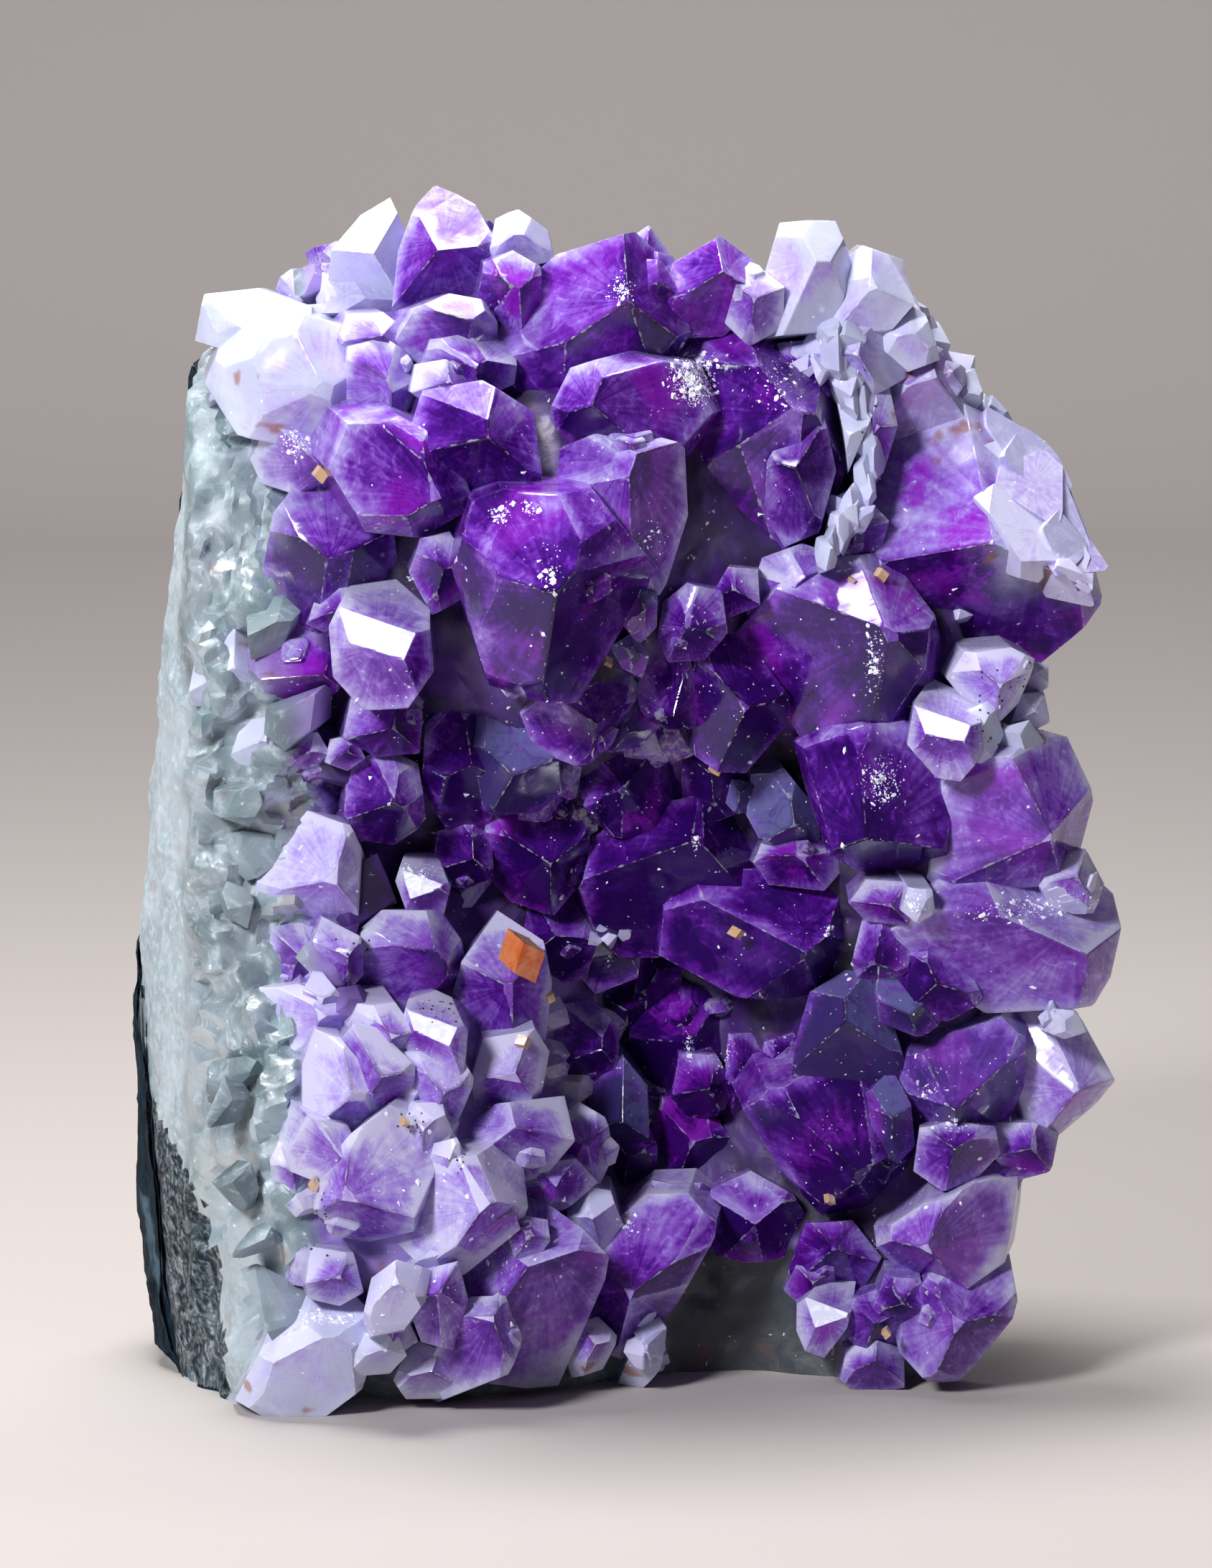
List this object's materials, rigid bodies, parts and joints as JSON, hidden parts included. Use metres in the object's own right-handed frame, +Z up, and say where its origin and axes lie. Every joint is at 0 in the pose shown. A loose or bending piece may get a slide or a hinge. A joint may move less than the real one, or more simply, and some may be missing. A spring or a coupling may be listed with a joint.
{
  "type": "amethyst cluster",
  "caption": "Standing amethyst cluster: violet quartz points on a pale quartz wall with dark basalt rind behind and calcite grains on the crystals.",
  "frame": {"origin": "middle of the flat underside that the cluster stands on", "axes": "+Z up, the crystals face -Y, the basalt rind is towards +Y, +X to the right seen from the front"},
  "size_m": [0.1937, 0.1317, 0.2345],
  "materials": {
    "amethyst": "gloss",
    "basalt": "matte",
    "calcite_orange": "satin",
    "calcite_cream": "satin"
  },
  "bodies": {
    "root": {"amethyst_druse": "amethyst", "basalt_rind": "basalt", "calcite_rhomb": "calcite_orange", "calcite_grain_01": "calcite_cream", "calcite_grain_02": "calcite_cream", "calcite_grain_03": "calcite_cream", "calcite_grain_04": "calcite_cream", "calcite_grain_05": "calcite_cream", "calcite_grain_06": "calcite_cream", "calcite_grain_07": "calcite_cream", "calcite_grain_08": "calcite_cream", "calcite_grain_09": "calcite_cream", "calcite_grain_10": "calcite_cream", "calcite_grain_11": "calcite_cream", "calcite_grain_12": "calcite_cream", "calcite_grain_13": "calcite_cream", "calcite_grain_14": "calcite_cream"}
  },
  "joints": []
}
